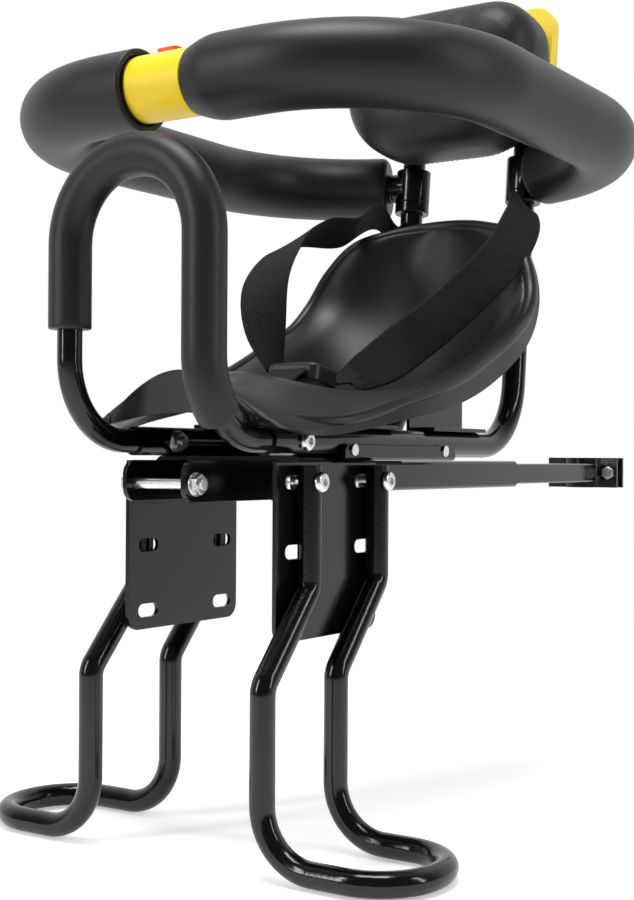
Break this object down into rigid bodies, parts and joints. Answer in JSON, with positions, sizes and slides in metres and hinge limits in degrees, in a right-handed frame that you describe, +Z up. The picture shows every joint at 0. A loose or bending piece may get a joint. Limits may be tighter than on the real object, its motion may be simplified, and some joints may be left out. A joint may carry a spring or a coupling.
{
  "type": "child bicycle seat",
  "caption": "Front child seat for a bicycle: bar with fork and seat post clamp, moulded saddle, headrest, foot rests, grab handle and a padded guard ring that opens at a latch.",
  "frame": {"origin": "on the head tube axis in the front fork, at the height of the main bar's axis", "axes": "+Z up, the child looks along -Y, +X is the child's left"},
  "size_m": [0.3426, 0.643, 0.5598],
  "materials": {
    "painted_black": "gloss black powder coat",
    "zinc": "bright zinc plating",
    "foam_black": "matte closed cell foam",
    "saddle_black": "glossy moulded plastic",
    "cushion_black": "soft grained cover",
    "latch_yellow": "bright yellow moulded plastic",
    "button_red": "bright red moulded plastic",
    "webbing_black": "woven polyester webbing",
    "buckle_black": "matte moulded plastic"
  },
  "bodies": {
    "seat_frame": {"main_bar": "painted_black", "left_front_arm": "painted_black", "right_front_arm": "painted_black", "mount_bracket": "painted_black", "left_foot_rest": "painted_black", "right_foot_rest": "painted_black", "seat_base_tray": "painted_black", "left_seat_tube": "painted_black", "right_seat_tube": "painted_black", "grab_handle": "painted_black", "left_stop_collar": "painted_black", "right_stop_collar": "painted_black", "saddle_front_rest": "painted_black", "saddle_rear_rest": "painted_black", "fork_bolt": "zinc", "fork_nut": "zinc", "foot_rest_bolts": "zinc", "foot_rest_nuts": "zinc", "bar_lock_bolt": "zinc", "bar_lock_nut": "zinc", "tray_rivets": "zinc", "base_bolts": "zinc", "base_nuts": "zinc", "handle_bolts": "zinc", "handle_nuts": "zinc", "saddle_bolts": "zinc", "saddle_nuts": "zinc", "grab_handle_foam": "foam_black", "saddle": "saddle_black", "headrest_cushion": "cushion_black", "headrest_back": "latch_yellow", "left_strap": "webbing_black", "right_strap": "webbing_black", "crotch_strap": "webbing_black", "buckle": "buckle_black"},
    "left_guard": {"left_hinge_sleeve": "painted_black", "left_guard_arm": "painted_black", "left_guard_foam": "foam_black", "latch_sleeve": "latch_yellow"},
    "right_guard": {"right_hinge_sleeve": "painted_black", "right_guard_arm": "painted_black", "right_guard_foam": "foam_black", "latch_socket": "buckle_black"},
    "release_button": {"latch_button": "button_red", "button_spring": "zinc"},
    "extension": {"extension_tube": "painted_black", "clamp_front_jaw": "painted_black", "clamp_rear_jaw": "painted_black", "clamp_bolts": "zinc", "clamp_nuts": "zinc"}
  },
  "joints": [
    {"name": "left_arm_hinge", "type": "hinge", "parent": "seat_frame", "child": "left_guard", "pos_m": [0.047, 0.32899, 0.2207], "axis": [0, 0.1045, 0.9945], "range_deg": [0, 85]},
    {"name": "right_arm_hinge", "type": "hinge", "parent": "seat_frame", "child": "right_guard", "pos_m": [-0.047, 0.32899, 0.2207], "axis": [0, -0.1045, -0.9945], "range_deg": [0, 85]},
    {"name": "button_press", "type": "slide", "parent": "left_guard", "child": "release_button", "axis": [0, 0, -1], "range_m": [0, 0.003], "stiffness_N_per_m": 500, "springref_m": -0.004, "deforming": ["button_spring"]},
    {"name": "extension_slide", "type": "slide", "parent": "seat_frame", "child": "extension", "axis": [0, 1, 0], "range_m": [-0.04, 0.05]}
  ]
}
